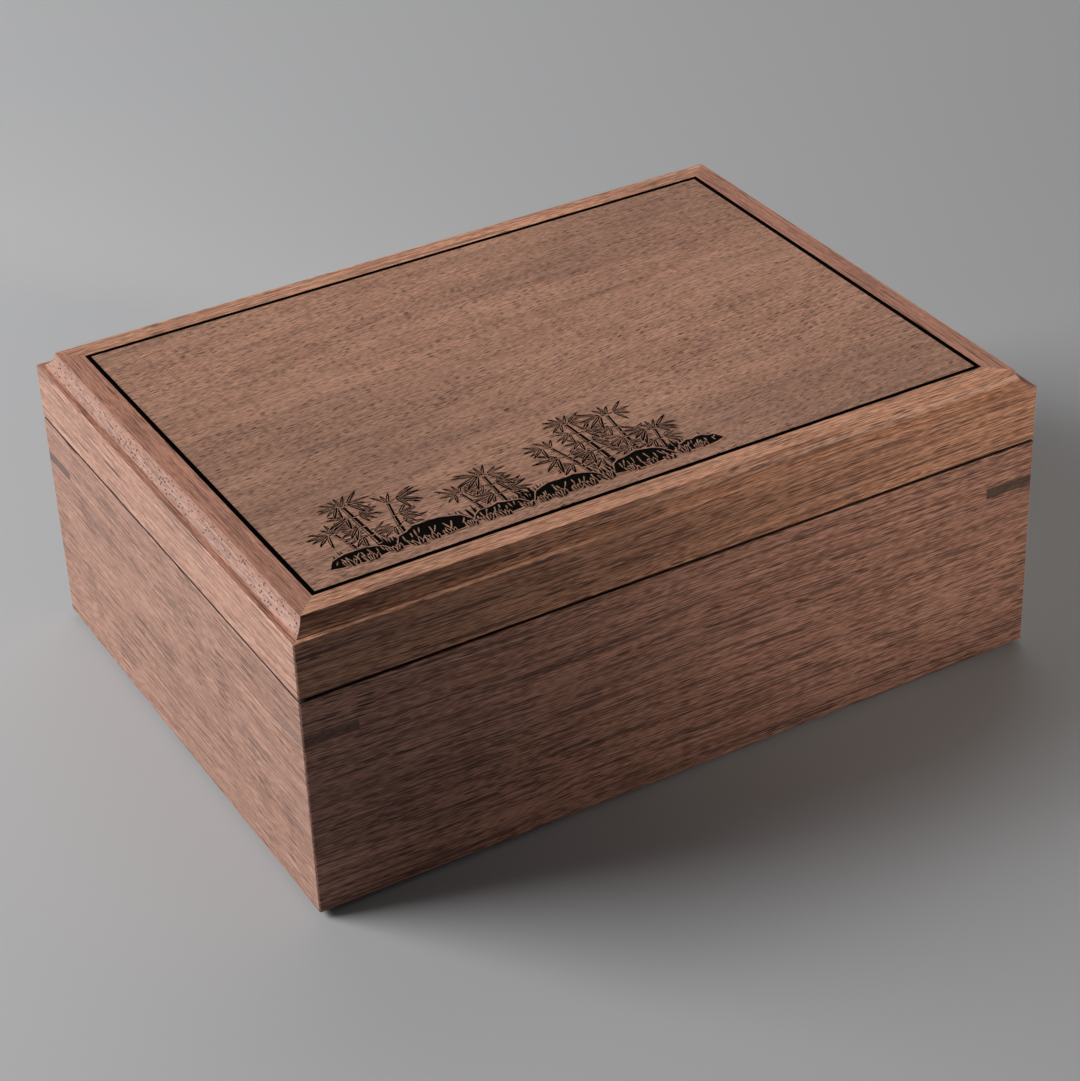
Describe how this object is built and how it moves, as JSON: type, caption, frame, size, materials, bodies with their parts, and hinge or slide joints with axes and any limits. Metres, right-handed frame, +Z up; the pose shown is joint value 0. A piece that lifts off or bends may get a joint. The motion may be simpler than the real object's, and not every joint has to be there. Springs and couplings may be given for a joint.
{
  "type": "fountain pen case",
  "caption": "Walnut box with keyed mitres, a cove-moulded hinged lid with a black inlaid line, and a padded bed that holds a fountain pen.",
  "frame": {"origin": "bottom centre of the case as it stands, hinge barrels included", "axes": "+X along the case to the right, +Y to the back where the hinges are, +Z up"},
  "size_m": [0.216, 0.1624, 0.086],
  "materials": {
    "walnut_base": "satin lacquered walnut",
    "walnut_lid": "satin lacquered walnut",
    "walnut_panel": "satin lacquered walnut",
    "key_wood": "satin, darker walnut",
    "black_line": "black dyed, satin",
    "bottom_plywood": "raw",
    "bed_plywood": "raw",
    "base_felt": "black felt",
    "suede": "cream suede cloth",
    "pad_card": "grey board",
    "brass": "satin brushed",
    "screw_brass": "polished",
    "magnet_nickel": "nickel plated"
  },
  "bodies": {
    "base": {"back_left_key": "key_wood", "back_liner": "suede", "back_right_key": "key_wood", "back_wall": "walnut_base", "base_felt": "base_felt", "base_magnets": "magnet_nickel", "bed_bearers": "bed_plywood", "bed_board": "bed_plywood", "bottom_panel": "bottom_plywood", "front_left_key": "key_wood", "front_liner": "suede", "front_right_key": "key_wood", "front_wall": "walnut_base", "left_hinge_base_leaf": "brass", "left_hinge_base_screws": "screw_brass", "left_hinge_pin": "brass", "left_liner": "suede", "left_wall": "walnut_base", "pen_bed": "suede", "right_hinge_base_leaf": "brass", "right_hinge_base_screws": "screw_brass", "right_hinge_pin": "brass", "right_liner": "suede", "right_wall": "walnut_base"},
    "lid": {"back_line": "black_line", "front_line": "black_line", "left_hinge_lid_leaf": "brass", "left_hinge_lid_screws": "screw_brass", "left_line": "black_line", "lid_back_rail": "walnut_lid", "lid_front_rail": "walnut_lid", "lid_left_rail": "walnut_lid", "lid_magnets": "magnet_nickel", "lid_pad": "suede", "lid_pad_board": "pad_card", "lid_panel": "walnut_panel", "lid_right_rail": "walnut_lid", "right_hinge_lid_leaf": "brass", "right_hinge_lid_screws": "screw_brass", "right_line": "black_line"},
    "left_stay": {"left_stay_arm": "brass"},
    "right_stay": {"right_stay_arm": "brass"}
  },
  "joints": [
    {"name": "lid_hinge", "type": "hinge", "parent": "base", "child": "lid", "pos_m": [0, 0.07875, 0.06563], "axis": [-1, 0, 0], "range_deg": [0, 95]},
    {"name": "left_stay_swing", "type": "hinge", "parent": "base", "child": "left_stay", "pos_m": [0, 0.07875, 0.06563], "axis": [-1, 0, 0], "range_deg": [0, 47.5]},
    {"name": "right_stay_swing", "type": "hinge", "parent": "base", "child": "right_stay", "pos_m": [0, 0.07875, 0.06563], "axis": [-1, 0, 0], "range_deg": [0, 47.5]}
  ],
  "couplings": [
    {"joint": "left_stay_swing", "follows": "lid_hinge", "ratio": 0.5},
    {"joint": "right_stay_swing", "follows": "lid_hinge", "ratio": 0.5}
  ]
}
